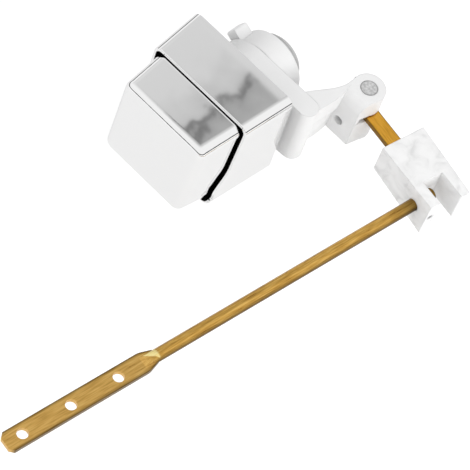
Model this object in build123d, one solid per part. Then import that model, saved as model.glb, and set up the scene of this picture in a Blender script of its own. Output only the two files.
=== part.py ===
from build123d import *
import math
import os

# Push-button cistern lever, in millimetres.
# The origin lies on the shank's axis, in the plane of the housing's back face.
# +Z is up, +Y points into the cistern and +X is to the right as seen from outside.

# Housing, with the half sizes of its section at the back and at the mouth
HOUSING_BACK_HALF = 32.1
HOUSING_BACK_HEIGHT = 28.5
HOUSING_MOUTH_Y = -40.0
HOUSING_MOUTH_HALF = 28.95
HOUSING_MOUTH_HEIGHT = 27.5
HOUSING_CORNER = 4.8
HOUSING_WALL = 1.5
HOUSING_BACK_WALL = 2.5

# Slanted rim of the housing, as (y, z) points seen from the side
RIM_TOP = (-28.1, 21.0)
RIM_MIDDLE = (-30.5, -6.0)
RIM_LOW = (-36.0, -18.0)
RIM_SILL = -23.0
RIM_LIP_Y = -38.5
RIM_BENDS = (30.0, 18.0, 8.0, 1.4, 1.1)
RIM_EDGE = 0.6

# Button cap
BUTTON_SIDE_GAP = 1.3
BUTTON_TOP_GAP = 0.8
BUTTON_FOOT_GAP = 0.6
BUTTON_REAR_Y = -24.0
BUTTON_REAR_FOOT = (-37.5, -14.0)
BUTTON_REAR_KNEE = -8.0
BUTTON_FRONT_HALF = 25.1
BUTTON_FRONT_LOW = -21.5
BUTTON_FRONT_HIGH = 24.7
BUTTON_FACE_Y = -51.1
BUTTON_FACE_FOOT_Y = -56.0
BUTTON_CORNER = 4.8
BUTTON_EDGE = 3.6
BUTTON_REAR_EDGE = 0.6
BUTTON_WALL = 2.2

# Button hinge
HINGE_Y = -36.0
HINGE_Z = -20.5
HINGE_PIN_R = 1.5
HINGE_PIN_HALF = 21.0
HINGE_FIT = 0.03
HINGE_EYE_R = 2.7
LUG_INNER = 13.0
LUG_OUTER = 17.0
BUTTON_EAR_INNER = 17.4
BUTTON_EAR_OUTER = 20.4

# Dark frame inside the housing
FRAME_HALF = 24.0
FRAME_HEIGHT = 21.5
FRAME_CORNER = 4.0
FRAME_REAR_Y = -9.0
FRAME_PLATE = 3.0
FRAME_WINDOW_R = 11.0
LUG_ROOT_HEIGHT = 12.5
EAR_ROOT_HEIGHT = 10.5
RAIL = 2.0
RAIL_GAP = 0.4
RAIL_HEIGHT = 10.0
RAIL_HOOK = 1.2

# Screws
SCREW_R = 1.4
SCREW_FIT = 0.05
SCREW_CLEARANCE = 0.3
SCREW_HEAD_R = 2.8
SCREW_HEAD = 2.0
SCREW_REACH = 4.5
SCREW_SPARE = 0.5
BOSS_R = 3.5
FRAME_SCREW_X = 20.5
FRAME_SCREW_Z = 17.0

# Dark plate inside the button cap
PLATE_FRONT_Y = -46.0
PLATE = 3.0
PLATE_HALF = 21.8
PLATE_LOW = -20.5
PLATE_HIGH = 21.6
PLATE_CORNER = 3.0
SKIRT = 1.8
SKIRT_REAR_Y = -24.0
SKIRT_LOW = -12.0
BUTTON_SCREW_X = 14.0
BUTTON_SCREW_HIGH = 8.0
BUTTON_SCREW_LOW = -8.0
PUSHER_HALF = 5.0
PUSHER_LOW = 14.0
PUSHER_HIGH = 20.0
PUSHER_EDGE = 0.5
PAD = 2.0
PAD_GAP = 0.4

# Shank, bush and plunger
SHANK_R = 12.5
SHANK_BORE_R = 7.5
SHANK_END_Y = 33.5
SHANK_FLANGE_R = 17.0
SHANK_FLANGE = 3.0
SHANK_GAP = 0.3
SHANK_CHAMFER = 1.0
BUSH_FIT = 0.02
BUSH_LENGTH = 12.0
BUSH_FLANGE_R = 10.0
BUSH_FLANGE = 0.8
BUSH_NOTCH = 3.0
PLUNGER_R = 4.0
PLUNGER_FIT = 0.05
PLUNGER_HEAD_Y = -23.0
PLUNGER_HEAD = 3.0
PLUNGER_HEAD_HALF = 6.0
PLUNGER_HEAD_LOW = -6.0
PLUNGER_HEAD_HIGH = 21.0
PLUNGER_TIP_Y = 33.8
PLUNGER_CHAMFER = 0.6

# Return spring
SPRING_R = 6.8
SPRING_WIRE_R = 0.6
SPRING_TURNS = 4.0
SPRING_GAP = 0.1

# Stack clamped behind the housing
GASKET = 4.0
GASKET_R = 23.0
BRACKET_DEPTH = 10.5
BRACKET_HALF = 19.5
BRACKET_END_X = 40.0
BRACKET_END_LOW = -16.0
BRACKET_WALL = 3.0
BRACKET_WEB = 3.0
BRACKET_SEAT_R = 16.5
BRACKET_RIB = 2.0
BRACKET_NOSE_R = 5.0
WASHER = 1.5
WASHER_R = 14.8
NUT_DEPTH = 12.0
NUT_R = 17.5
NUT_LUG_REACH = 23.5
NUT_LUG_WIDTH = 7.0
NUT_LUG_DEPTH = 8.0
NUT_LUG_TURN = 151.0
NUT_LUGS = 2
NUT_EDGE = 1.2
NUT_FIT = 0.3

# Arm and clevis of the bracket
PIVOT_X = 45.0
PIVOT_Y = 41.0
EAR_R = 8.2
EAR_TOP = 18.5
EAR_LOW = 7.2
LOWER_EAR_TOP = 3.2
LOWER_EAR_LOW = -12.5
TAB_FRONT_Y = 30.0
TAB = 3.0
TAB_LEFT = 37.0
TAB_RIGHT = 50.5
TAB_HOLE_X = 41.8
TAB_HOLE_Z = -2.0
TAB_HOLE_R = 2.5
TAB_HOLE_DEPTH = 6.0
CLEVIS_BEND = 7.5
ARM_ROOT_Y = 9.0
WEB_DRAFT = 2.7
ARM_LEFT = ((27.6, 14.5), (30.9, 20.8), (35.9, 30.6), (36.4, 41.0))
ARM_RIGHT = ((39.4, 30.5), (39.9, 24.5), (39.6, 18.5), (39.0, 14.0))

# Clevis pin and what turns on it
PIN_R = 3.0
PIN_HEAD_R = 4.15
PIN_HEAD = 3.0
PIN_SEAT_GAP = 0.1
PIN_FIT = 0.05
PIN_TAIL = 3.0
PIN_CLIP = 1.0
PIN_CLIP_R = 5.5
PIN_GROOVE = 0.6
SPACER_R = 6.0
SPACER_GAP = 0.2

# Lever: u runs along the strip from the pin, n is square to it and points away from the front
LEVER_TURN = -10.0
STRIP_WIDTH = 7.8
STRIP_LOW = 4.0
STRIP = 2.5
STRIP_EYE_R = 5.5
STRIP_SEAT = 14.0
BLOCK_START = 27.0
BLOCK_END = 66.0
BLOCK_FRONT = -10.3
BLOCK_REAR_START = 14.0
BLOCK_REAR_END = 11.5
BLOCK_LOW = -5.2
BLOCK_TOP = 12.0
BLOCK_EDGE = 0.6
SLOT_START = 51.0
SLOT_FRONT = -4.8
SLOT_REAR = 6.5
PRONG_END = 64.0
PRONG_LOW = -9.4
BLOCK_FIT = 0.02
STRIP_SCREW_U = (31.0, 37.0)
STRIP_SCREW_HEAD = 1.6
ROD_R = 3.0
ROD_FIT = 0.02
ROD_SETBACK = 9.3
ROD_Z = 2.0
ROD_TURN = 7.65
ROD_LENGTH = 227.0
ROD_INSIDE = 11.5
FLAT_LENGTH = 78.0
FLAT_WIDTH = 9.8
FLAT = 2.5
FLAT_SHOULDER = 7.0
FLAT_NECK = 6.0
FLAT_NECK_R = 8.0
FLAT_CHAMFER = 2.0
CHAIN_HOLE_R = 2.6
CHAIN_HOLE_FIRST = 8.8
CHAIN_HOLE_PITCH = 24.75
CHAIN_HOLES = 3
SET_SCREW_R = 1.5
SET_SCREW_SOCKET_R = 0.8
SET_SCREW_SOCKET = 1.5

REACH = 90.0


def along(y, y0, value0, y1, value1):
    """A value that runs straight from one place along Y to another."""
    return value0 + (value1 - value0) * (y - y0) / (y1 - y0)


def housing_half(y):
    """Half the housing's width at a place along Y."""
    return along(y, 0, HOUSING_BACK_HALF, HOUSING_MOUTH_Y, HOUSING_MOUTH_HALF)


def housing_height(y):
    """Half the housing's height at a place along Y."""
    return along(y, 0, HOUSING_BACK_HEIGHT, HOUSING_MOUTH_Y, HOUSING_MOUTH_HEIGHT)


# Places that follow from the sizes
BUTTON_REAR_HALF = housing_half(BUTTON_REAR_Y) - HOUSING_WALL - BUTTON_SIDE_GAP
BUTTON_REAR_HIGH = housing_height(BUTTON_REAR_Y) - HOUSING_WALL - BUTTON_TOP_GAP
BUTTON_REAR_LOW = HOUSING_WALL + BUTTON_FOOT_GAP - housing_height(BUTTON_REAR_FOOT[0])
BACK_WALL_Y = -HOUSING_BACK_WALL
FLANGE_Y = BACK_WALL_Y - SHANK_FLANGE
FRAME_FACE_Y = FRAME_REAR_Y - FRAME_PLATE
PLATE_REAR_Y = PLATE_FRONT_Y + PLATE
PLUNGER_HEAD_REAR_Y = PLUNGER_HEAD_Y + PLUNGER_HEAD
PAD_REAR_Y = PLUNGER_HEAD_Y - PAD_GAP
PUSHER_REAR_Y = PAD_REAR_Y - PAD
BRACKET_REAR_Y = GASKET + BRACKET_DEPTH
WASHER_REAR_Y = BRACKET_REAR_Y + WASHER
STRIP_TOP = STRIP_LOW + STRIP
ROD_U = PRONG_END - ROD_SETBACK
CLIP_TOP = LOWER_EAR_LOW - SPACER_GAP
LEVER = Pos(PIVOT_X, PIVOT_Y, 0) * Rot(0, 0, LEVER_TURN)


def bar_y(radius, start, end, x=0.0, z=0.0):
    """A round bar along Y."""
    return Pos(x, (start + end) / 2, z) * Rot(90, 0, 0) * Cylinder(radius, abs(end - start))


def bar_z(radius, low, high, x=0.0, y=0.0):
    """A round bar along Z."""
    return Pos(x, y, (low + high) / 2) * Cylinder(radius, high - low)


def bar_x(radius, start, end, y, z):
    """A round bar along X."""
    return Pos((start + end) / 2, y, z) * Rot(0, 90, 0) * Cylinder(radius, end - start)


def block(x0, x1, y0, y1, z0, z1):
    """A box between two corners."""
    return Pos((x0 + x1) / 2, (y0 + y1) / 2, (z0 + z1) / 2) * Box(x1 - x0, y1 - y0, z1 - z0)


def side_prism(points, x0, x1):
    """A prism along X from an outline of (y, z) points."""
    return Pos(x0, 0, 0) * extrude(Plane.YZ * make_face(Polyline(*points, close=True)), x1 - x0)


def plan_prism(points, z0, z1):
    """A prism along Z from an outline of (x, y) points."""
    return Pos(0, 0, z0) * extrude(make_face(Polyline(*points, close=True)), z1 - z0)


def section(y, half, low, high, corner):
    """A rounded rectangle square to Y."""
    plane = Plane(origin=(0, y, (low + high) / 2), x_dir=(1, 0, 0), z_dir=(0, -1, 0))
    return plane * RectangleRounded(2 * half, high - low, corner)


def housing_form(y_back, y_front, inset):
    """The housing's drafted form between two places along Y, drawn in by an inset."""
    faces = []
    for y in (y_back, y_front):
        height = housing_height(y) - inset
        faces.append(section(y, housing_half(y) - inset, -height, height, HOUSING_CORNER - inset))
    return loft(faces, ruled=True)


def button_form(inset):
    """The button's drafted form, drawn in by an inset, cut to its face and its rear rim."""
    faces = []
    for y in (BUTTON_REAR_Y + BUTTON_EDGE, BUTTON_FACE_FOOT_Y - BUTTON_EDGE):
        half = along(y, BUTTON_REAR_Y, BUTTON_REAR_HALF, BUTTON_FACE_Y, BUTTON_FRONT_HALF) - inset
        low = along(y, BUTTON_REAR_FOOT[0], BUTTON_REAR_LOW, BUTTON_FACE_FOOT_Y, BUTTON_FRONT_LOW) + inset
        high = along(y, BUTTON_REAR_Y, BUTTON_REAR_HIGH, BUTTON_FACE_Y, BUTTON_FRONT_HIGH) - inset
        faces.append(section(y, half, low, high, BUTTON_CORNER - inset))
    slope = (BUTTON_FACE_Y - BUTTON_FACE_FOOT_Y) / (BUTTON_FRONT_HIGH - BUTTON_FRONT_LOW)
    top_y = BUTTON_FACE_Y + slope * (REACH - BUTTON_FRONT_HIGH) + inset
    foot_y = BUTTON_FACE_FOOT_Y - slope * (REACH + BUTTON_FRONT_LOW) + inset
    foot, rise = BUTTON_REAR_FOOT
    rear = [(foot, -REACH), (foot, rise), (BUTTON_REAR_Y, BUTTON_REAR_KNEE), (BUTTON_REAR_Y, REACH)]
    outline = [(top_y, REACH), (foot_y, -REACH)] + rear
    return loft(faces, ruled=True) & side_prism(outline, -REACH, REACH)


def frame_screw_places():
    """Where the four frame screws stand, as (x, z)."""
    return [(i * FRAME_SCREW_X, j * FRAME_SCREW_Z) for i in (-1, 1) for j in (-1, 1)]


def button_screw_places():
    """Where the four button screws stand, as (x, z)."""
    return [(i * BUTTON_SCREW_X, z) for i in (-1, 1) for z in (BUTTON_SCREW_LOW, BUTTON_SCREW_HIGH)]


def screws(places, seat_y, plate, tip):
    """Round-head screws along Y, heads seated at seat_y, tips toward +Y (1) or -Y (-1)."""
    solids = []
    for x, z in places:
        head = bar_y(SCREW_HEAD_R, seat_y - tip * SCREW_HEAD, seat_y, x, z)
        shaft = bar_y(SCREW_R, seat_y - tip * SCREW_HEAD / 2, seat_y + tip * (plate + SCREW_REACH), x, z)
        solids.append((head + shaft).solids()[0])
    return Compound(solids)


def hinge_arm(root_y, root_z, height, x0, x1):
    """A hinge arm from its root to the rounded eye on the hinge line."""
    outline = [
        (root_y, root_z),
        (root_y, root_z + height),
        (HINGE_Y, HINGE_Z + HINGE_EYE_R),
        (HINGE_Y, HINGE_Z - HINGE_EYE_R),
    ]
    return side_prism(outline, x0, x1) + bar_x(HINGE_EYE_R, x0, x1, HINGE_Y, HINGE_Z)


def housing_shell():
    top = (RIM_TOP[0], REACH)
    foot = (RIM_LIP_Y, -REACH)
    sill = (RIM_LOW[0], RIM_SILL)
    lip = (RIM_LIP_Y, RIM_SILL)
    rim = FilletPolyline(top, RIM_TOP, RIM_MIDDLE, RIM_LOW, sill, lip, foot, radius=list(RIM_BENDS))
    front = Polyline(foot, (-2 * REACH, -REACH), (-2 * REACH, REACH), top)
    open_front = Pos(-REACH, 0, 0) * extrude(Plane.YZ * make_face(rim.edges() + front.edges()), 2 * REACH)
    outer = housing_form(0, HOUSING_MOUTH_Y, 0) - open_front
    mouth = [e for e in outer.edges() if e.bounding_box().max.Y < RIM_TOP[0] + RIM_EDGE]
    inside = HOUSING_MOUTH_HEIGHT - HOUSING_WALL
    crossing = [e for e in mouth if e.length > HOUSING_MOUTH_HALF and abs(e.center().Z) < inside]
    outer = fillet([e for e in mouth if e not in crossing], RIM_EDGE)
    solid = outer - housing_form(BACK_WALL_Y, HOUSING_MOUTH_Y - 1, HOUSING_WALL)
    for x, z in frame_screw_places():
        solid += bar_y(BOSS_R, FRAME_REAR_Y, BACK_WALL_Y, x, z)
        solid -= bar_y(SCREW_R + SCREW_FIT, FRAME_REAR_Y, FRAME_REAR_Y + SCREW_REACH + SCREW_SPARE, x, z)
    return solid - bar_y(SHANK_R + SHANK_GAP, BACK_WALL_Y - 1, 1)


def inner_frame():
    outline = section(FRAME_REAR_Y, FRAME_HALF, -FRAME_HEIGHT, FRAME_HEIGHT, FRAME_CORNER)
    solid = extrude(outline, FRAME_PLATE) - bar_y(FRAME_WINDOW_R, FRAME_FACE_Y - 1, FRAME_REAR_Y + 1)
    hook_y = PLUNGER_HEAD_Y - RAIL_GAP
    inner = PLUNGER_HEAD_HALF + RAIL_GAP
    for side in (-1, 1):
        x0, x1 = sorted((side * LUG_INNER, side * LUG_OUTER))
        solid += hinge_arm(FRAME_FACE_Y + 1, -FRAME_HEIGHT, LUG_ROOT_HEIGHT, x0, x1)
        r0, r1 = sorted((side * inner, side * (inner + RAIL)))
        root_y = FRAME_FACE_Y + 1
        h0, h1 = sorted((side * (inner - RAIL), side * (inner + RAIL)))
        bar0, bar1 = sorted((side * inner, side * (FRAME_WINDOW_R + RAIL)))
        solid += block(r0, r1, hook_y - RAIL_HOOK, root_y, -RAIL_HEIGHT / 2, RAIL_HEIGHT / 2)
        solid += block(bar0, bar1, FRAME_FACE_Y, root_y, -RAIL_HEIGHT / 2, RAIL_HEIGHT / 2)
        solid += block(h0, h1, hook_y - RAIL_HOOK, hook_y, -RAIL_HEIGHT / 2, RAIL_HEIGHT / 2)
    solid -= bar_y(SPRING_R + SPRING_WIRE_R + RAIL_GAP, PLUNGER_HEAD_REAR_Y, FRAME_REAR_Y + 1)
    for x, z in frame_screw_places():
        solid -= bar_y(SCREW_R + SCREW_CLEARANCE, FRAME_FACE_Y - 1, FRAME_REAR_Y + 1, x, z)
    return solid - bar_x(HINGE_PIN_R + HINGE_FIT, -REACH, REACH, HINGE_Y, HINGE_Z)


def button_cap():
    outer = button_form(0)
    front = outer.faces().sort_by(Axis.Y)[0]
    core = button_form(BUTTON_WALL / 2)
    rounded = fillet(front.edges(), BUTTON_EDGE)
    rear = [e for e in rounded.edges() if e.center().Y > BUTTON_REAR_FOOT[0] - BUTTON_REAR_EDGE]
    rear = [e for e in rear if e.bounding_box().min.Y > BUTTON_REAR_FOOT[0] - BUTTON_REAR_EDGE]
    solid = fillet(rear, BUTTON_REAR_EDGE) - button_form(BUTTON_WALL)
    for x, z in button_screw_places():
        solid += bar_y(BOSS_R, PLATE_FRONT_Y, BUTTON_FACE_FOOT_Y, x, z) & core
    for x, z in button_screw_places():
        solid -= bar_y(SCREW_R + SCREW_FIT, PLATE_FRONT_Y, PLATE_FRONT_Y - SCREW_REACH - SCREW_SPARE, x, z)
    return solid


def button_plate():
    outline = section(PLATE_REAR_Y, PLATE_HALF, PLATE_LOW, PLATE_HIGH, PLATE_CORNER)
    solid = extrude(outline, PLATE)
    hood = section(SKIRT_REAR_Y, PLATE_HALF, SKIRT_LOW - PLATE_CORNER, PLATE_HIGH, PLATE_CORNER)
    hollow_half = PLATE_HALF - SKIRT
    hollow_low = SKIRT_LOW - 2 * PLATE_CORNER
    hollow = section(SKIRT_REAR_Y, hollow_half, hollow_low, PLATE_HIGH - SKIRT, PLATE_CORNER - SKIRT / 2)
    depth = SKIRT_REAR_Y - PLATE_REAR_Y
    skirt = extrude(hood, depth) - extrude(hollow, depth)
    solid += skirt - block(-REACH, REACH, PLATE_REAR_Y, SKIRT_REAR_Y, -REACH, SKIRT_LOW)
    for side in (-1, 1):
        x0, x1 = sorted((side * BUTTON_EAR_INNER, side * BUTTON_EAR_OUTER))
        solid += hinge_arm(PLATE_REAR_Y - 1, PLATE_LOW, EAR_ROOT_HEIGHT, x0, x1)
    solid += block(-PUSHER_HALF, PUSHER_HALF, PLATE_REAR_Y - 1, PUSHER_REAR_Y, PUSHER_LOW, PUSHER_HIGH)
    for x, z in button_screw_places():
        solid -= bar_y(SCREW_R + SCREW_CLEARANCE, PLATE_FRONT_Y - 1, PLATE_REAR_Y + 1, x, z)
    return solid - bar_x(HINGE_PIN_R + HINGE_FIT, -REACH, REACH, HINGE_Y, HINGE_Z)


def pusher_pad():
    half = PUSHER_HALF - PUSHER_EDGE
    return block(-half, half, PUSHER_REAR_Y, PAD_REAR_Y, PUSHER_LOW + PUSHER_EDGE, PUSHER_HIGH - PUSHER_EDGE)


def threaded_shank():
    solid = bar_y(SHANK_R, FLANGE_Y, SHANK_END_Y)
    solid = chamfer(solid.edges().group_by(Axis.Y)[-1], SHANK_CHAMFER)
    solid += bar_y(SHANK_FLANGE_R, FLANGE_Y, BACK_WALL_Y)
    return solid - bar_y(SHANK_BORE_R, FLANGE_Y - 1, SHANK_END_Y + 1)


def plunger_bush():
    solid = bar_y(SHANK_BORE_R - BUSH_FIT, SHANK_END_Y - BUSH_LENGTH, SHANK_END_Y)
    solid += bar_y(BUSH_FLANGE_R, SHANK_END_Y, SHANK_END_Y + BUSH_FLANGE)
    notch = block(PLUNGER_R, REACH, SHANK_END_Y, SHANK_END_Y + 2 * BUSH_FLANGE, -BUSH_NOTCH / 2, BUSH_NOTCH / 2)
    solid -= notch
    return solid - bar_y(PLUNGER_R + PLUNGER_FIT, -REACH, REACH)


def plunger():
    solid = bar_y(PLUNGER_R, PLUNGER_HEAD_Y + 1, PLUNGER_TIP_Y)
    solid = chamfer(solid.edges().group_by(Axis.Y)[-1], PLUNGER_CHAMFER)
    half = PLUNGER_HEAD_HALF
    return solid + block(-half, half, PLUNGER_HEAD_Y, PLUNGER_HEAD_REAR_Y, PLUNGER_HEAD_LOW, PLUNGER_HEAD_HIGH)


def return_spring():
    start = PLUNGER_HEAD_REAR_Y + SPRING_WIRE_R + SPRING_GAP
    height = FLANGE_Y - SPRING_WIRE_R - SPRING_GAP - start
    coil = Helix(height / SPRING_TURNS, height, SPRING_R)
    wire = sweep(Plane(coil @ 0, z_dir=coil % 0) * Circle(SPRING_WIRE_R), path=coil, is_frenet=True)
    return Pos(0, start, 0) * Rot(-90, 0, 0) * wire


def ring_y(inner, outer, start, end):
    return bar_y(outer, start, end) - bar_y(inner, start - 1, end + 1)


def stadium(half, end_x, start, end):
    """The bracket's hub form: round on the left, narrowing to its end on the right."""
    low = BRACKET_END_LOW + BRACKET_HALF - half
    outline = Polyline((0, half), (end_x, half), (end_x, low), (0, -half), close=True)
    plate = Pos(0, end, 0) * extrude(Plane.XZ * make_face(outline), end - start)
    return bar_y(half, start, end) + plate


def bracket_arm():
    """The curved arm from the hub to the clevis, with a deep, drafted web along its right side."""
    left = Spline(*ARM_LEFT)
    right = Spline(*ARM_RIGHT)
    foot = Polyline(ARM_RIGHT[-1], (ARM_RIGHT[-1][0], ARM_ROOT_Y), (ARM_LEFT[0][0], ARM_ROOT_Y), ARM_LEFT[0])
    outline = make_face(left.edges() + Line(ARM_LEFT[-1], ARM_RIGHT[0]).edges() + right.edges() + foot.edges())
    inner = Spline(*[(x - BRACKET_WALL, y) for x, y in ARM_RIGHT])
    ends = [Line(right @ k, inner @ k) for k in (0, 1)]
    web = make_face(right.edges() + inner.edges() + ends[0].edges() + ends[1].edges())
    solid = Pos(0, 0, EAR_LOW) * extrude(outline, EAR_TOP - EAR_LOW)
    return solid + loft([Pos(-WEB_DRAFT, 0, LOWER_EAR_LOW) * web, Pos(0, 0, EAR_TOP) * web], ruled=True)


def bracket():
    nose = stadium(BRACKET_HALF, BRACKET_END_X, GASKET, BRACKET_REAR_Y)
    corners = nose.edges().filter_by(Axis.Z).group_by(Axis.X)[-1]
    solid = fillet(corners, BRACKET_NOSE_R)
    inner_half = BRACKET_HALF - BRACKET_WALL
    tray = stadium(inner_half, BRACKET_END_X - BRACKET_NOSE_R, GASKET + BRACKET_WEB, BRACKET_REAR_Y + 1)
    solid -= tray - bar_y(BRACKET_SEAT_R, GASKET, BRACKET_REAR_Y + 1)
    rib_x = (BRACKET_SEAT_R + BRACKET_END_X - BRACKET_NOSE_R) / 2
    rib0, rib1 = rib_x - BRACKET_RIB / 2, rib_x + BRACKET_RIB / 2
    solid += block(rib0, rib1, GASKET, BRACKET_REAR_Y, -inner_half - 1, inner_half + 1)
    end_x = BRACKET_END_X - BRACKET_NOSE_R + 1
    solid += block(BRACKET_SEAT_R - 1, end_x, GASKET, BRACKET_REAR_Y, -BRACKET_RIB / 2, BRACKET_RIB / 2)
    ear = [
        (TAB_LEFT, TAB_FRONT_Y),
        (TAB_RIGHT, TAB_FRONT_Y),
        (PIVOT_X + EAR_R, PIVOT_Y),
        (PIVOT_X - EAR_R, PIVOT_Y),
    ]
    clevis = block(TAB_LEFT, TAB_RIGHT, TAB_FRONT_Y, TAB_FRONT_Y + TAB, LOWER_EAR_LOW, EAR_TOP)
    for low, high in ((EAR_LOW, EAR_TOP), (LOWER_EAR_LOW, LOWER_EAR_TOP)):
        clevis += plan_prism(ear, low, high) + bar_z(EAR_R, low, high, PIVOT_X, PIVOT_Y)
    brow = clevis.edges().filter_by(Axis.X).group_by(Axis.Z)[-1].sort_by(Axis.Y)[0]
    clevis = fillet(brow, CLEVIS_BEND)
    solid += clevis + bracket_arm()
    solid -= bar_y(TAB_HOLE_R, TAB_FRONT_Y - 1, TAB_FRONT_Y + TAB_HOLE_DEPTH, TAB_HOLE_X, TAB_HOLE_Z)
    solid -= bar_z(PIN_R + PIN_FIT, LOWER_EAR_LOW - 1, EAR_TOP + 1, PIVOT_X, PIVOT_Y)
    solid -= bar_z(PIN_HEAD_R + PIN_SEAT_GAP, EAR_TOP - PIN_HEAD, EAR_TOP + 1, PIVOT_X, PIVOT_Y)
    return solid - bar_y(SHANK_R + SHANK_GAP, GASKET - 2, BRACKET_REAR_Y + 1)


def lock_nut():
    rear = WASHER_REAR_Y + NUT_DEPTH
    solid = bar_y(NUT_R, WASHER_REAR_Y, rear)
    solid = fillet(solid.edges().group_by(Axis.Y)[-1], NUT_EDGE)
    for k in range(NUT_LUGS):
        lug = block(
            SHANK_R + NUT_EDGE, NUT_LUG_REACH, WASHER_REAR_Y, WASHER_REAR_Y + NUT_LUG_DEPTH,
            -NUT_LUG_WIDTH / 2, NUT_LUG_WIDTH / 2,
        )
        lug = fillet(lug.faces().sort_by(Axis.X)[-1].edges(), NUT_EDGE)
        solid += Rot(0, -(NUT_LUG_TURN + k * 360 / NUT_LUGS), 0) * lug
    return solid - bar_y(SHANK_R + NUT_FIT, 0, REACH)


def pivot_pin():
    tail = CLIP_TOP - PIN_TAIL
    solid = bar_z(PIN_R, tail, EAR_TOP - 1, PIVOT_X, PIVOT_Y)
    solid += bar_z(PIN_HEAD_R, EAR_TOP - PIN_HEAD, EAR_TOP, PIVOT_X, PIVOT_Y)
    groove = bar_z(PIN_R + 1, CLIP_TOP - PIN_CLIP, CLIP_TOP, PIVOT_X, PIVOT_Y)
    return solid - (groove - bar_z(PIN_R - PIN_GROOVE, tail, EAR_TOP, PIVOT_X, PIVOT_Y))


def sleeve_z(inner, outer, low, high):
    hollow = bar_z(inner, low - 1, high + 1, PIVOT_X, PIVOT_Y)
    return bar_z(outer, low, high, PIVOT_X, PIVOT_Y) - hollow


def lever_strip():
    solid = block(0, BLOCK_START + STRIP_SEAT, -STRIP_WIDTH / 2, STRIP_WIDTH / 2, STRIP_LOW, STRIP_TOP)
    solid += bar_z(STRIP_EYE_R, STRIP_LOW, STRIP_TOP)
    solid -= bar_z(PIN_R + PIN_FIT, STRIP_LOW - 1, STRIP_TOP + 1)
    for u in STRIP_SCREW_U:
        solid -= bar_z(SCREW_R + SCREW_FIT, STRIP_LOW - 1, STRIP_TOP + 1, u, 0)
    return LEVER * solid


def rod_frame():
    """The rod's own frame: its axis is -Y, from where it enters the block."""
    return LEVER * Pos(ROD_U, BLOCK_FRONT, ROD_Z) * Rot(0, 0, -ROD_TURN - LEVER_TURN)


def rod_block():
    outline = [
        (BLOCK_START, BLOCK_FRONT), (BLOCK_END, BLOCK_FRONT),
        (BLOCK_END, BLOCK_REAR_END), (BLOCK_START, BLOCK_REAR_START),
    ]
    solid = plan_prism(outline, BLOCK_LOW, BLOCK_TOP)
    keel = Polyline((BLOCK_START, BLOCK_LOW), (BLOCK_END, PRONG_LOW), (BLOCK_END, BLOCK_LOW), close=True)
    solid += Pos(0, SLOT_FRONT, 0) * extrude(Plane.XZ * make_face(keel), SLOT_FRONT - BLOCK_FRONT)
    solid -= block(PRONG_END, REACH, BLOCK_FRONT - 1, SLOT_FRONT, PRONG_LOW - 1, BLOCK_TOP + 1)
    solid -= block(SLOT_START, REACH, SLOT_FRONT, SLOT_REAR, PRONG_LOW - 1, BLOCK_TOP + 1)
    half = STRIP_WIDTH / 2 + BLOCK_FIT
    seat_end = BLOCK_START + STRIP_SEAT + BLOCK_FIT
    solid -= block(BLOCK_START - 1, seat_end, -half, half, STRIP_LOW - BLOCK_FIT, STRIP_TOP + BLOCK_FIT)
    for u in STRIP_SCREW_U:
        solid -= bar_z(SCREW_HEAD_R + SCREW_CLEARANCE, BLOCK_LOW - 1, BLOCK_LOW + STRIP_SCREW_HEAD, u, 0)
        solid -= bar_z(SCREW_R + SCREW_FIT, BLOCK_LOW, STRIP_TOP, u, 0)
    front_half = (BLOCK_FRONT + SLOT_FRONT) / 2
    solid -= bar_x(SET_SCREW_R + SCREW_FIT, ROD_U, REACH, front_half, ROD_Z)
    solid = LEVER * fillet(solid.edges().filter_by(Axis.Z).group_by(Axis.X)[-1], BLOCK_EDGE)
    return solid - rod_frame() * bar_y(ROD_R + ROD_FIT, -2, ROD_INSIDE + 1)


def strip_screws():
    solids = []
    for u in STRIP_SCREW_U:
        screw = bar_z(SCREW_HEAD_R, BLOCK_LOW, BLOCK_LOW + STRIP_SCREW_HEAD, u, 0)
        screw += bar_z(SCREW_R, BLOCK_LOW + STRIP_SCREW_HEAD / 2, STRIP_TOP, u, 0)
        solids.append((LEVER * screw).solids()[0])
    return Compound(solids)


def rod_set_screw():
    front_half = (BLOCK_FRONT + SLOT_FRONT) / 2
    start = ROD_U + ROD_R + SET_SCREW_R
    solid = bar_x(SET_SCREW_R, start, PRONG_END - SCREW_SPARE, front_half, ROD_Z)
    socket = bar_x(SET_SCREW_SOCKET_R, PRONG_END - SCREW_SPARE - SET_SCREW_SOCKET, PRONG_END, front_half, ROD_Z)
    return LEVER * (solid - socket)


def trip_rod():
    flat_start = -ROD_LENGTH + FLAT_LENGTH
    solid = bar_y(ROD_R, flat_start, ROD_INSIDE)
    half = FLAT_WIDTH / 2
    neck_y = flat_start - FLAT_NECK
    outline = [(-half, -ROD_LENGTH), (half, -ROD_LENGTH), (half, neck_y)]
    outline += [(ROD_R, flat_start), (-ROD_R, flat_start), (-half, neck_y)]
    flat = plan_prism(outline, -FLAT / 2, FLAT / 2)
    neck = [e for e in flat.edges().filter_by(Axis.Z) if abs(e.center().Y - neck_y) < FLAT_CHAMFER]
    flat = fillet(neck, FLAT_NECK_R)
    tip = flat.edges().filter_by(Axis.Z).group_by(Axis.Y)[0]
    solid += chamfer(tip, FLAT_CHAMFER)
    ramp_end = flat_start - FLAT_SHOULDER
    wedge = [(flat_start, ROD_R), (flat_start, -ROD_R), (ramp_end, -FLAT / 2), (ramp_end, FLAT / 2)]
    solid += bar_y(ROD_R, ramp_end, flat_start) & side_prism(wedge, -ROD_R, ROD_R)
    for k in range(CHAIN_HOLES):
        y = -ROD_LENGTH + CHAIN_HOLE_FIRST + k * CHAIN_HOLE_PITCH
        solid -= bar_z(CHAIN_HOLE_R, -ROD_R, ROD_R, 0, y)
    return rod_frame() * solid


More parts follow.
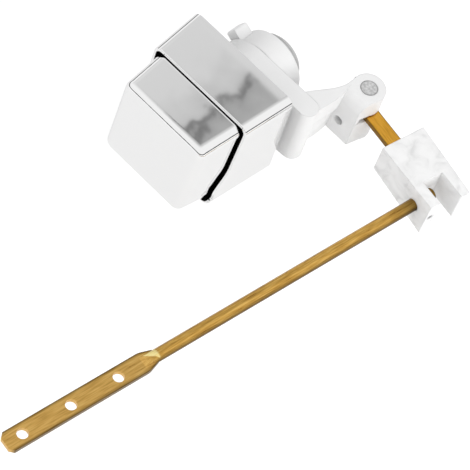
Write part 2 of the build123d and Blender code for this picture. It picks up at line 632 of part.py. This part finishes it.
PARTS = {
    "housing_shell": housing_shell(),
    "inner_frame": inner_frame(),
    "frame_screws": screws(frame_screw_places(), FRAME_FACE_Y, FRAME_PLATE, 1),
    "hinge_pin": bar_x(HINGE_PIN_R, -HINGE_PIN_HALF, HINGE_PIN_HALF, HINGE_Y, HINGE_Z),
    "threaded_shank": threaded_shank(),
    "plunger_bush": plunger_bush(),
    "return_spring": return_spring(),
    "wall_gasket": ring_y(SHANK_R + SHANK_GAP, GASKET_R, 0, GASKET),
    "bracket": bracket(),
    "nut_washer": ring_y(SHANK_R + SHANK_GAP, WASHER_R, BRACKET_REAR_Y, WASHER_REAR_Y),
    "lock_nut": lock_nut(),
    "pivot_pin": pivot_pin(),
    "pivot_pin_clip": sleeve_z(PIN_R - PIN_GROOVE + PIN_FIT, PIN_CLIP_R, CLIP_TOP - PIN_CLIP, CLIP_TOP),
    "button_cap": button_cap(),
    "button_plate": button_plate(),
    "button_screws": screws(button_screw_places(), PLATE_REAR_Y, PLATE, -1),
    "pusher_pad": pusher_pad(),
    "plunger": plunger(),
    "lever_strip": lever_strip(),
    "upper_spacer": sleeve_z(PIN_R + PIN_FIT, SPACER_R, STRIP_TOP, EAR_LOW - SPACER_GAP),
    "lower_spacer": sleeve_z(PIN_R + PIN_FIT, SPACER_R, LOWER_EAR_TOP + SPACER_GAP, STRIP_LOW),
    "rod_block": rod_block(),
    "strip_screws": strip_screws(),
    "rod_set_screw": rod_set_screw(),
    "trip_rod": trip_rod(),
}

os.makedirs("parts", exist_ok=True)
for name, shape in PARTS.items():
    export_step(shape, "parts/" + name + ".step")
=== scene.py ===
import bpy
import math
from mathutils import Matrix, Vector


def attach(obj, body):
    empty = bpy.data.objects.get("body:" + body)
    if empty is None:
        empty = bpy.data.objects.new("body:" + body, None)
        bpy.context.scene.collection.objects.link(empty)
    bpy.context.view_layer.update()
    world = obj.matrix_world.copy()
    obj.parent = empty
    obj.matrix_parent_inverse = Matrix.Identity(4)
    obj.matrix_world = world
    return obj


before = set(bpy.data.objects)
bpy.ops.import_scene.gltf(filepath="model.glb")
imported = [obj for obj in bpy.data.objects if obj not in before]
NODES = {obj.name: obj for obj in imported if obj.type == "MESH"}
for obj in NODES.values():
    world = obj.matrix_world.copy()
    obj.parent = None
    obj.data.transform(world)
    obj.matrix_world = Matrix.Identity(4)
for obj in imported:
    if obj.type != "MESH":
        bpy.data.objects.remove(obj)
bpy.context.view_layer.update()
MM = 0.001

# Turns of the lever's strip and rod about Z, as the model has them
STRIP_TURN = math.radians(-10.0)
ROD_TURN = math.radians(-7.65)

# The clevis pin's place, and where the rod enters the block
PIVOT = (45.0 * MM, 41.0 * MM, 0.0)
ROD_ENTRY = (97.08 * MM, 21.36 * MM, 2.0 * MM)

# Places along the rod from there, and half widths across it
NECK_START = -149.0 * MM
NECK_END = -155.0 * MM
RAMP_END = -156.0 * MM
ROD_HALF = 3.0 * MM
FLAT_HALF = 4.9 * MM

# The neck's facet, where a highlight is painted in pale tones, with the soft borders of its tip, its end and
# its sides
FACET_APEX = -154.5 * MM
FACET_BASE = -148.5 * MM
FACET_HALF = 2.4 * MM
FACET_BLUR = 0.4 * MM
FACET_TIP = (-154.6 * MM, -154.2 * MM)
FACET_END = (-148.6 * MM, -147.8 * MM)
FACET_SIDE = (2.4 * MM, 2.7 * MM)

# Darkening: where it starts, where it is full, and the share of the colour that is left there. On the rod's
# sides and by the block it is painted shade; along the strip's edges and round the pin's rim the colour is
# just darker there
SIDE_PAINTED_SHADE = (0.72, 0.98, 0.25)
ENTRY_PAINTED_SHADE = (-16.0 * MM, -1.0 * MM, 0.4)
STRIP_EDGE_DARKENING = (3.3 * MM, 3.85 * MM, 0.3)
PIN_RIM = (3.6 * MM, 4.1 * MM, 0.5)

# Streaks of drawn and rolled brass
STREAK_SCALE = 1500
STREAK_DETAIL = 5.0
STREAK_PLACES = (0.3, 0.5, 0.7)


def material(name, colour, metallic, roughness):
    """A material with its uniform values set on the shader's own sockets."""
    mat = bpy.data.materials.new(name)
    mat.use_nodes = True
    shader = mat.node_tree.nodes["Principled BSDF"]
    shader.inputs["Base Color"].default_value = (*colour, 1.0)
    shader.inputs["Metallic"].default_value = metallic
    shader.inputs["Roughness"].default_value = roughness
    return mat


def noise_of(mat, scale, detail, stretch=(1, 1, 1), turn=0.0):
    """Noise in object coordinates, drawn out along a turned axis."""
    tree = mat.node_tree
    coords = tree.nodes.new("ShaderNodeTexCoord")
    mapping = tree.nodes.new("ShaderNodeMapping")
    mapping.vector_type = "TEXTURE"
    mapping.inputs["Rotation"].default_value = (0, 0, turn)
    mapping.inputs["Scale"].default_value = stretch
    noise = tree.nodes.new("ShaderNodeTexNoise")
    noise.inputs["Scale"].default_value = scale
    noise.inputs["Detail"].default_value = detail
    tree.links.new(coords.outputs["Object"], mapping.inputs["Vector"])
    tree.links.new(mapping.outputs["Vector"], noise.inputs["Vector"])
    return noise


def ramp_of(mat, source, stops):
    """A colour ramp fed by a value, from (place, colour) stops."""
    ramp = mat.node_tree.nodes.new("ShaderNodeValToRGB")
    marks = ramp.color_ramp.elements
    for k, (place, colour) in enumerate(stops):
        mark = marks[k] if k < 2 else marks.new(place)
        mark.position = place
        mark.color = (*colour, 1)
    mat.node_tree.links.new(source, ramp.inputs["Fac"])
    return ramp


def link(mat, output, socket):
    """A link to one of the shader's sockets."""
    mat.node_tree.links.new(output, mat.node_tree.nodes["Principled BSDF"].inputs[socket])


def vary_roughness(mat, noise, low, high):
    """Roughness that wanders between two values with a noise."""
    spread = mat.node_tree.nodes.new("ShaderNodeMapRange")
    spread.inputs["To Min"].default_value = low
    spread.inputs["To Max"].default_value = high
    mat.node_tree.links.new(noise.outputs["Fac"], spread.inputs["Value"])
    link(mat, spread.outputs["Result"], "Roughness")


def relief(mat, noise, depth, edge=0.0):
    """A fine bump from a noise, over edges that are rounded in the shading."""
    tree = mat.node_tree
    bump = tree.nodes.new("ShaderNodeBump")
    bump.inputs["Strength"].default_value = 1.0
    bump.inputs["Distance"].default_value = depth
    tree.links.new(noise.outputs["Fac"], bump.inputs["Height"])
    if edge:
        bevel = tree.nodes.new("ShaderNodeBevel")
        bevel.samples = 6
        bevel.inputs["Radius"].default_value = edge
        tree.links.new(bevel.outputs["Normal"], bump.inputs["Normal"])
    link(mat, bump.outputs["Normal"], "Normal")


def grey(tone):
    return (tone, tone, tone)


def moulded(name, low, high, roughness, depth, edge):
    """Moulded plastic: two close tones, a faint skin and softened edges."""
    mat = material(name, high, 0.0, roughness)
    cloud = noise_of(mat, 60, 4.0)
    link(mat, ramp_of(mat, cloud.outputs["Fac"], [(0.3, low), (0.7, high)]).outputs["Color"], "Base Color")
    skin = noise_of(mat, 1800, 2.0)
    vary_roughness(mat, skin, roughness - 0.06, roughness + 0.06)
    relief(mat, skin, depth, edge)
    return mat


def chrome_plate():
    """Polished chrome with a faint haze."""
    mat = material("polished_chrome", grey(0.88), 1.0, 0.04)
    vary_roughness(mat, noise_of(mat, 90, 3.0), 0.02, 0.06)
    return mat


def marbled_block():
    """Pale plastic with grey wisps, as in recycled moulding."""
    mat = material("marbled_plastic", grey(0.86), 0.0, 0.5)
    drift = noise_of(mat, 130, 6.0)
    drift.inputs["Distortion"].default_value = 0.7
    wisps = [(0.3, grey(0.69)), (0.43, grey(0.8)), (0.55, grey(0.85)), (0.75, grey(0.88))]
    link(mat, ramp_of(mat, drift.outputs["Fac"], wisps).outputs["Color"], "Base Color")
    relief(mat, noise_of(mat, 700, 3.0), 0.02 * MM, 0.7 * MM)
    return mat


def own_axes(mat, origin, turn):
    """A piece's own X, Y and Z, from its origin and its turn about Z."""
    tree = mat.node_tree
    coords = tree.nodes.new("ShaderNodeTexCoord")
    mapping = tree.nodes.new("ShaderNodeMapping")
    mapping.vector_type = "TEXTURE"
    mapping.inputs["Location"].default_value = origin
    mapping.inputs["Rotation"].default_value = (0, 0, turn)
    split = tree.nodes.new("ShaderNodeSeparateXYZ")
    tree.links.new(coords.outputs["Object"], mapping.inputs["Vector"])
    tree.links.new(mapping.outputs["Vector"], split.inputs["Vector"])
    return split.outputs


def graded(mat, value, start, end, first, last):
    """A value that runs from a first to a last number between two places."""
    spread = mat.node_tree.nodes.new("ShaderNodeMapRange")
    for socket, number in (("From Min", start), ("From Max", end), ("To Min", first), ("To Max", last)):
        spread.inputs[socket].default_value = number
    mat.node_tree.links.new(value, spread.inputs["Value"])
    return spread.outputs["Result"]


def fade(mat, value, start, end, low):
    """A factor that falls from 1 to a low value between two places."""
    return graded(mat, value, start, end, 1.0, low)


def math_of(mat, operation, *values):
    """One step of arithmetic on linked values."""
    step = mat.node_tree.nodes.new("ShaderNodeMath")
    step.operation = operation
    for k, value in enumerate(values):
        mat.node_tree.links.new(value, step.inputs[k])
    return step.outputs["Value"]


def between(mat, factor, first, last):
    """One colour that gives way to another."""
    mix = mat.node_tree.nodes.new("ShaderNodeMix")
    mix.data_type = "RGBA"
    mat.node_tree.links.new(factor, mix.inputs["Factor"])
    mat.node_tree.links.new(first, mix.inputs["A"])
    mat.node_tree.links.new(last, mix.inputs["B"])
    return mix.outputs["Result"]


def darkened(mat, colour, factor):
    """A colour times a factor."""
    times = mat.node_tree.nodes.new("ShaderNodeMix")
    times.data_type = "RGBA"
    times.blend_type = "MULTIPLY"
    times.inputs["Factor"].default_value = 1.0
    mat.node_tree.links.new(colour, times.inputs["A"])
    mat.node_tree.links.new(factor, times.inputs["B"])
    return times.outputs["Result"]


def brass(name, tones, roughness, stretch, turn):
    """Brass with fine streaks along its length, and the streaks' noise."""
    mat = material(name, tones[1], 1.0, roughness)
    streaks = noise_of(mat, STREAK_SCALE, STREAK_DETAIL, stretch, turn)
    vary_roughness(mat, streaks, roughness - 0.08, roughness + 0.1)
    relief(mat, streaks, 0.015 * MM, 0.3 * MM)
    return mat, streaks.outputs["Fac"]


def streaked(mat, noise, tones):
    """Three tones spread over a noise."""
    return ramp_of(mat, noise, list(zip(STREAK_PLACES, tones))).outputs["Color"]


def drawn_brass(tones, flat_tones, facet_highlight_tones):
    """The rod's brass: paler on the flat, with a painted highlight on the neck's facet and painted shade at
    its sides and near the block.
    """
    mat, noise = brass("drawn_brass", tones, 0.3, (1, 14, 1), ROD_TURN)
    axes = own_axes(mat, ROD_ENTRY, ROD_TURN)
    neck = graded(mat, axes["Y"], NECK_START, RAMP_END, 0.0, 1.0)
    colour = between(mat, neck, streaked(mat, noise, tones), streaked(mat, noise, flat_tones))
    half = graded(mat, axes["Y"], NECK_START, NECK_END, ROD_HALF, FLAT_HALF)
    reach = math_of(mat, "ABSOLUTE", axes["X"])
    side = math_of(mat, "DIVIDE", reach, half)
    slant = graded(mat, axes["Y"], FACET_APEX, FACET_BASE, -FACET_HALF, FACET_HALF)
    facet = graded(mat, math_of(mat, "SUBTRACT", slant, axes["X"]), 0.0, FACET_BLUR, 0.0, 1.0)
    facet = math_of(mat, "MULTIPLY", facet, graded(mat, axes["Y"], *FACET_TIP, 0.0, 1.0))
    facet = math_of(mat, "MULTIPLY", facet, fade(mat, axes["Y"], *FACET_END, 0.0))
    facet = math_of(mat, "MULTIPLY", facet, fade(mat, reach, *FACET_SIDE, 0.0))
    # Painted highlight: the neck's facet in pale tones
    colour = between(mat, facet, colour, streaked(mat, noise, facet_highlight_tones))
    # Painted shade: the rod's sides, round part and flat alike, darkened towards their edges
    colour = darkened(mat, colour, fade(mat, side, *SIDE_PAINTED_SHADE))
    # Painted shade on the last stretch of rod before it enters the block
    colour = darkened(mat, colour, fade(mat, axes["Y"], *ENTRY_PAINTED_SHADE))
    link(mat, colour, "Base Color")
    return mat


def rolled_brass(tones):
    """The strip's brass: darker along its cut edges."""
    mat, noise = brass("rolled_brass", tones, 0.36, (10, 1, 1), STRIP_TURN)
    axes = own_axes(mat, PIVOT, STRIP_TURN)
    side = math_of(mat, "ABSOLUTE", axes["Y"])
    colour = darkened(mat, streaked(mat, noise, tones), fade(mat, side, *STRIP_EDGE_DARKENING))
    link(mat, colour, "Base Color")
    return mat


def cast_pin():
    """Speckled grey plastic, darker round the rim of the pin's head."""
    mat = material("grey_pin", grey(0.55), 0.0, 0.5)
    grain = noise_of(mat, 900, 5.0)
    colour = ramp_of(mat, grain.outputs["Fac"], [(0.35, grey(0.42)), (0.65, grey(0.62))]).outputs["Color"]
    axes = own_axes(mat, PIVOT, 0.0)
    flat = mat.node_tree.nodes.new("ShaderNodeCombineXYZ")
    reach = mat.node_tree.nodes.new("ShaderNodeVectorMath")
    reach.operation = "LENGTH"
    mat.node_tree.links.new(axes["X"], flat.inputs["X"])
    mat.node_tree.links.new(axes["Y"], flat.inputs["Y"])
    mat.node_tree.links.new(flat.outputs["Vector"], reach.inputs[0])
    link(mat, darkened(mat, colour, fade(mat, reach.outputs["Value"], *PIN_RIM)), "Base Color")
    vary_roughness(mat, grain, 0.42, 0.6)
    relief(mat, grain, 0.04 * MM, 0.4 * MM)
    return mat


def brushed_steel():
    """Plain steel with fine scratches."""
    mat = material("plain_steel", grey(0.55), 1.0, 0.35)
    scratches = noise_of(mat, 900, 4.0, (1, 12, 1))
    vary_roughness(mat, scratches, 0.25, 0.45)
    relief(mat, scratches, 0.01 * MM)
    return mat


white = moulded("white_moulding", grey(0.79), grey(0.82), 0.42, 0.01 * MM, 0.8 * MM)
soft_ring = moulded("soft_white_ring", grey(0.77), grey(0.81), 0.65, 0.03 * MM, 0.5 * MM)
# Painted shade: the white plastic shank and its thread get a grey tone that stands for the shadows between
# the thread's turns
shank_shade_grey = moulded("shank_painted_shade_grey", grey(0.46), grey(0.54), 0.5, 0.02 * MM, 0.3 * MM)
pin_grey = cast_pin()
# Painted shade: near-black moulding on the parts inside the housing, standing for the shade seen in the gaps
# round the button
gap_shade_black = moulded("gap_shade_black_moulding", grey(0.01), grey(0.016), 0.55, 0.02 * MM, 0.3 * MM)
rubber = moulded("black_rubber", grey(0.016), grey(0.024), 0.8, 0.04 * MM, 0.2 * MM)
chrome = chrome_plate()
marble = marbled_block()
steel = brushed_steel()
ROD_TONES = [(0.42, 0.225, 0.045), (0.58, 0.335, 0.075), (0.76, 0.48, 0.13)]
FLAT_TONES = [(0.54, 0.31, 0.075), (0.72, 0.43, 0.115), (0.83, 0.54, 0.17)]
# Pale tones of the painted highlight on the neck's facet
FACET_HIGHLIGHT_TONES = [(0.9, 0.7, 0.26), (0.96, 0.8, 0.34), (0.98, 0.84, 0.4)]
STRIP_TONES = [(0.58, 0.28, 0.034), (0.74, 0.38, 0.045), (0.82, 0.44, 0.065)]
rod_brass = drawn_brass(ROD_TONES, FLAT_TONES, FACET_HIGHLIGHT_TONES)
strip_brass = rolled_brass(STRIP_TONES)

FINISH = {
    "housing_shell": (chrome, "chrome"),
    "button_cap": (chrome, "chrome"),
    # Parts inside the housing, in the near-black painted-shade moulding
    "inner_frame": (gap_shade_black, "dark_plastic"),
    "button_plate": (gap_shade_black, "dark_plastic"),
    "plunger_bush": (gap_shade_black, "dark_plastic"),
    "frame_screws": (steel, "steel"),
    "button_screws": (steel, "steel"),
    "hinge_pin": (steel, "steel"),
    "return_spring": (steel, "steel"),
    "strip_screws": (steel, "steel"),
    "rod_set_screw": (steel, "steel"),
    "pivot_pin_clip": (steel, "steel"),
    "threaded_shank": (shank_shade_grey, "white_plastic"),
    "bracket": (white, "white_plastic"),
    "nut_washer": (white, "white_plastic"),
    "lock_nut": (white, "white_plastic"),
    "plunger": (white, "white_plastic"),
    "upper_spacer": (white, "white_plastic"),
    "lower_spacer": (white, "white_plastic"),
    "wall_gasket": (soft_ring, "white_washer"),
    "pivot_pin": (pin_grey, "grey_plastic"),
    "pusher_pad": (rubber, "black_rubber"),
    "lever_strip": (strip_brass, "brass"),
    "trip_rod": (rod_brass, "brass"),
    "rod_block": (marble, "block_plastic"),
}
for name, (mat, slot) in FINISH.items():
    node = NODES[name]
    node.data.materials.clear()
    node.data.materials.append(mat)


def round_thread(mat):
    """Geometry Nodes for a rounded thread: a round bead that runs up a spiral along Y."""
    tree = bpy.data.node_groups.new("round_thread", "GeometryNodeTree")
    tree.interface.new_socket(name="Thread", in_out="OUTPUT", socket_type="NodeSocketGeometry")
    for title in ("Radius", "Bead", "Pitch", "Turns", "Start"):
        tree.interface.new_socket(name=title, in_out="INPUT", socket_type="NodeSocketFloat")
    given = tree.nodes.new("NodeGroupInput")
    result = tree.nodes.new("NodeGroupOutput")
    rise = tree.nodes.new("ShaderNodeMath")
    rise.operation = "MULTIPLY"
    spiral = tree.nodes.new("GeometryNodeCurveSpiral")
    spiral.inputs["Resolution"].default_value = 72
    bead = tree.nodes.new("GeometryNodeCurvePrimitiveCircle")
    bead.inputs["Resolution"].default_value = 8
    place = tree.nodes.new("ShaderNodeCombineXYZ")
    lay = tree.nodes.new("GeometryNodeTransform")
    lay.inputs["Rotation"].default_value = (-math.pi / 2, 0, 0)
    skin = tree.nodes.new("GeometryNodeCurveToMesh")
    skin.inputs["Fill Caps"].default_value = True
    smooth = tree.nodes.new("GeometryNodeSetShadeSmooth")
    solid = tree.nodes.new("GeometryNodeRealizeInstances")
    paint = tree.nodes.new("GeometryNodeSetMaterial")
    paint.inputs["Material"].default_value = mat
    wires = [
        (given.outputs["Pitch"], rise.inputs[0]),
        (given.outputs["Turns"], rise.inputs[1]),
        (given.outputs["Turns"], spiral.inputs["Rotations"]),
        (given.outputs["Radius"], spiral.inputs["Start Radius"]),
        (given.outputs["Radius"], spiral.inputs["End Radius"]),
        (rise.outputs["Value"], spiral.inputs["Height"]),
        (given.outputs["Start"], place.inputs["Y"]),
        (spiral.outputs["Curve"], lay.inputs["Geometry"]),
        (place.outputs["Vector"], lay.inputs["Translation"]),
        (given.outputs["Bead"], bead.inputs["Radius"]),
        (lay.outputs["Geometry"], skin.inputs["Curve"]),
        (bead.outputs["Curve"], skin.inputs["Profile Curve"]),
        (skin.outputs["Mesh"], smooth.inputs["Geometry"]),
        (smooth.outputs["Geometry"], solid.inputs["Geometry"]),
        (solid.outputs["Geometry"], paint.inputs["Geometry"]),
        (paint.outputs["Geometry"], result.inputs["Thread"]),
    ]
    for output, socket in wires:
        tree.links.new(output, socket)
    return tree


def grown(name, tree, sizes):
    """A plain mesh from a Geometry Nodes tree and its named sizes."""
    piece = bpy.data.objects.new(name, bpy.data.meshes.new(name))
    bpy.context.scene.collection.objects.link(piece)
    maker = piece.modifiers.new("maker", "NODES")
    maker.node_group = tree
    for item in tree.interface.items_tree:
        if item.in_out == "INPUT":
            maker[item.identifier] = sizes[item.name]
    depsgraph = bpy.context.evaluated_depsgraph_get()
    mesh = bpy.data.meshes.new_from_object(piece.evaluated_get(depsgraph))
    piece.modifiers.remove(maker)
    piece.data = mesh
    return piece


# Thread that shows on the shank behind the nut, in the shank's painted-shade grey
THREAD = {"Radius": 12.4 * MM, "Bead": 0.5 * MM, "Pitch": 1.5 * MM, "Turns": 2.6, "Start": 28.5 * MM}
thread = grown("shank_thread", round_thread(shank_shade_grey), THREAD)
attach(thread, "housing")

# Camera lens and sensor in millimetres
LENS = 165.46
SENSOR = 36

# Studio, in metres: tones by height in reflections, the room's tone on surfaces, floor and lamps
SKY = [(0.0, 0.03), (0.1, 0.03), (0.17, 1.0), (1.0, 1.0)]
ROOM_TONE = 0.79
FLOOR_HEIGHT = -0.09
FLOOR_SIZE = 8
FLOOR_LIFT = 0.26
FLOOR_SHINE = 0.08
LAMP_SIZE = 0.9
KEY_PLACE = Vector((1.0, 0.0, 0.6))
KEY_POWER = 6.5
FILL_PLACE = Vector((-0.5, -0.9, 0.35))
FILL_POWER = 2.2

# Overhead panel: two corners and a height
PANEL_LOW = (-0.7, -0.24)
PANEL_HIGH = (0.18, 0.4)
PANEL_HEIGHT = 0.417

# Panel tones across X, and the places along Y where its front border and its lit rear edge begin and end
PANEL_SWAY = 0.05
PANEL_TONES = [
    (-0.3, 0.8), (-0.13, 0.72), (-0.1, 0.58), (-0.098, 0.16),
    (-0.0955, 0.16), (-0.092, 0.4), (-0.07, 0.5), (0.16, 1.0),
]
PANEL_FRONT = (0.06, -0.22)
PANEL_FINGER = (0.2265, 0.2285)
PANEL_LIGHT = 0.74

# Camera, as fitted to the photo
EYE = Vector((0.2923, -0.5246, 0.8083))
right = Vector((0.6970, 0.6895, 0.1970)).normalized()
back = Vector((0.2452, -0.4873, 0.8381)).normalized()
up = back.cross(right).normalized()
right = up.cross(back).normalized()
camera = bpy.data.objects.new("camera", bpy.data.cameras.new("camera"))
bpy.context.scene.collection.objects.link(camera)
camera.data.sensor_width = SENSOR
camera.data.lens = LENS
camera.data.clip_start = 0.01
turn = Matrix((right, up, back)).transposed().to_4x4()
camera.matrix_world = Matrix.Translation(EYE) @ turn
bpy.context.scene.camera = camera


def studio_world():
    """White to the camera, plain on surfaces and graded by height in reflections."""
    world = bpy.data.worlds.new("white_studio")
    bpy.context.scene.world = world
    world.use_nodes = True
    tree = world.node_tree
    background = tree.nodes["Background"]
    coords = tree.nodes.new("ShaderNodeTexCoord")
    split = tree.nodes.new("ShaderNodeSeparateXYZ")
    path = tree.nodes.new("ShaderNodeLightPath")
    shine = tree.nodes.new("ShaderNodeMix")
    seen = tree.nodes.new("ShaderNodeMix")
    shine.data_type = "RGBA"
    seen.data_type = "RGBA"
    ramp = tree.nodes.new("ShaderNodeValToRGB")
    marks = ramp.color_ramp.elements
    for k, (place, tone) in enumerate(SKY):
        mark = marks[k] if k < 2 else marks.new(place)
        mark.position = place
        mark.color = (*grey(tone), 1)
    tree.links.new(coords.outputs["Generated"], split.inputs["Vector"])
    tree.links.new(split.outputs["Z"], ramp.inputs["Fac"])
    tree.links.new(path.outputs["Is Glossy Ray"], shine.inputs["Factor"])
    shine.inputs["A"].default_value = (*grey(ROOM_TONE), 1)
    tree.links.new(ramp.outputs["Color"], shine.inputs["B"])
    tree.links.new(path.outputs["Is Camera Ray"], seen.inputs["Factor"])
    tree.links.new(shine.outputs["Result"], seen.inputs["A"])
    seen.inputs["B"].default_value = (1, 1, 1, 1)
    tree.links.new(seen.outputs["Result"], background.inputs["Color"])
    background.inputs["Strength"].default_value = 1.0


def white_floor(height, size, lift, shine_lift):
    """A white floor, lifted to full white for the camera and a little in reflections."""
    bpy.ops.mesh.primitive_plane_add(size=size, location=(0.05, -0.05, height))
    floor = bpy.context.object
    floor.name = "floor"
    mat = material("white_floor", grey(0.86), 0.0, 1.0)
    tree = mat.node_tree
    shader = tree.nodes["Principled BSDF"]
    shader.inputs["Specular IOR Level"].default_value = 0.0
    shader.inputs["Emission Color"].default_value = (1, 1, 1, 1)
    path = tree.nodes.new("ShaderNodeLightPath")
    level = None
    for ray, share in (("Is Camera Ray", lift), ("Is Glossy Ray", shine_lift), ("Is Transmission Ray", lift)):
        part = tree.nodes.new("ShaderNodeMath")
        part.operation = "MULTIPLY_ADD"
        part.inputs[1].default_value = share
        part.inputs[2].default_value = 0.0
        tree.links.new(path.outputs[ray], part.inputs[0])
        if level:
            tree.links.new(level, part.inputs[2])
        level = part.outputs["Value"]
    tree.links.new(level, shader.inputs["Emission Strength"])
    floor.data.materials.append(mat)


def soft_lamp(name, place, size, energy):
    """A square soft lamp that looks at the object."""
    lamp = bpy.data.objects.new(name, bpy.data.lights.new(name, "AREA"))
    bpy.context.scene.collection.objects.link(lamp)
    lamp.data.energy = energy
    lamp.data.size = size
    lamp.location = place
    lamp.rotation_euler = (-lamp.location).to_track_quat("-Z", "Y").to_euler()
    lamp.visible_glossy = False


def overhead_panel(low, high, height):
    """A grey panel above the cistern side, seen only in polished metal, with a wavy shaded border."""
    (x0, y0), (x1, y1) = low, high
    mesh = bpy.data.meshes.new("overhead_panel")
    corners = [(x0, y0, height), (x1, y0, height), (x1, y1, height), (x0, y1, height)]
    mesh.from_pydata(corners, [], [(3, 2, 1, 0)])
    panel = bpy.data.objects.new("overhead_panel", mesh)
    bpy.context.scene.collection.objects.link(panel)
    mat = material("overhead_panel", grey(0.0), 0.0, 1.0)
    tree = mat.node_tree
    axes = own_axes(mat, (0, 0, 0), 0.0)
    ripple = noise_of(mat, 75, 5.0)
    sway = tree.nodes.new("ShaderNodeMath")
    sway.operation = "MULTIPLY_ADD"
    sway.inputs[1].default_value = PANEL_SWAY
    tree.links.new(ripple.outputs["Fac"], sway.inputs[0])
    tree.links.new(axes["X"], sway.inputs[2])
    across = tree.nodes.new("ShaderNodeMapRange")
    across.inputs["From Min"].default_value = x0
    across.inputs["From Max"].default_value = x1
    tree.links.new(sway.outputs["Value"], across.inputs["Value"])
    stops = [((x - x0) / (x1 - x0), grey(tone)) for x, tone in PANEL_TONES]
    tone = ramp_of(mat, across.outputs["Result"], stops).outputs["Color"]
    for (start, end), light in ((PANEL_FRONT, 1.0), (PANEL_FINGER, PANEL_LIGHT)):
        lit = tree.nodes.new("ShaderNodeMix")
        lit.data_type = "RGBA"
        tree.links.new(fade(mat, axes["Y"], start, end, 0.0), lit.inputs["Factor"])
        lit.inputs["A"].default_value = (*grey(light), 1)
        tree.links.new(tone, lit.inputs["B"])
        tone = lit.outputs["Result"]
    shader = tree.nodes["Principled BSDF"]
    shader.inputs["Specular IOR Level"].default_value = 0.0
    shader.inputs["Emission Strength"].default_value = 1.0
    tree.links.new(tone, shader.inputs["Emission Color"])
    mesh.materials.append(mat)
    for sight in ("visible_camera", "visible_diffuse", "visible_shadow", "visible_transmission"):
        setattr(panel, sight, False)


studio_world()
white_floor(FLOOR_HEIGHT, FLOOR_SIZE, FLOOR_LIFT, FLOOR_SHINE)
overhead_panel(PANEL_LOW, PANEL_HIGH, PANEL_HEIGHT)
soft_lamp("key", KEY_PLACE, LAMP_SIZE, KEY_POWER)
soft_lamp("fill", FILL_PLACE, LAMP_SIZE, FILL_POWER)

bpy.context.scene.view_settings.view_transform = "Standard"
